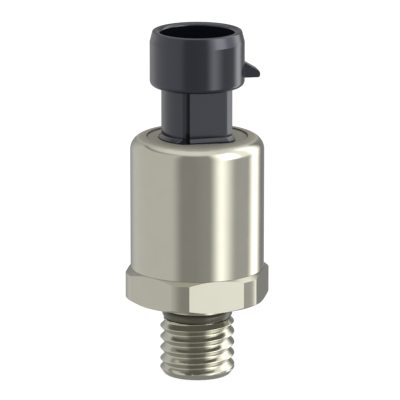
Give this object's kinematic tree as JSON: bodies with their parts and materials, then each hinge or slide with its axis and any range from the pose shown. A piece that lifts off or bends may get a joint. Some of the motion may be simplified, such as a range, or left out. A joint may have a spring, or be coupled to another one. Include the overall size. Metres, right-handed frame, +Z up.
{
  "type": "pressure transmitter",
  "caption": "Screw-in pressure transmitter: threaded stud with seal ring, hexagon, round steel can and a black moulded round plug socket with a latch ramp.",
  "frame": {"origin": "on the part's axis, in the middle of the stud's end face, which it stands on", "axes": "+Z up the part's axis from the stud to the socket's mouth, +X towards the socket's latch ramp, so the slots in the socket's neck face -Y and +Y"},
  "size_m": [0.0256, 0.0246, 0.0617],
  "materials": {
    "stainless_steel": "fine-turned bright stainless steel",
    "can_steel": "smooth drawn stainless steel",
    "olive_rubber": "smooth dark olive fluoro rubber, slightly glossy",
    "alumina": "fired alumina",
    "bond_glass": "fired sealing glass",
    "tinned_wire": "tinned",
    "natural_plastic": "natural moulded plastic",
    "spring_steel": "blackened spring steel",
    "spring_bronze": "rolled spring bronze",
    "board_green": "green solder resist",
    "chip_black": "moulded black epoxy",
    "capacitor_tan": "tan ceramic chip",
    "resistor_white": "white ceramic chip",
    "socket_plastic": "black moulded plastic, satin to glossy",
    "tinned_terminal": "tinned"
  },
  "bodies": {
    "root": {"process_port": "stainless_steel", "housing_can": "can_steel", "stud_o_ring": "olive_rubber", "cell_seal": "olive_rubber", "connector_seal": "olive_rubber", "ceramic_diaphragm": "alumina", "ceramic_cell_body": "alumina", "glass_bond_ring": "bond_glass", "cell_leads": "tinned_wire", "cell_support_ring": "natural_plastic", "board_carrier": "natural_plastic", "cell_circlip": "spring_steel", "ground_spring": "spring_bronze", "circuit_board": "board_green", "signal_chip": "chip_black", "voltage_regulator": "chip_black", "board_capacitors": "capacitor_tan", "board_resistors": "resistor_white", "connector_body": "socket_plastic", "supply_terminal": "tinned_terminal", "signal_terminal": "tinned_terminal", "ground_terminal": "tinned_terminal"}
  },
  "joints": []
}
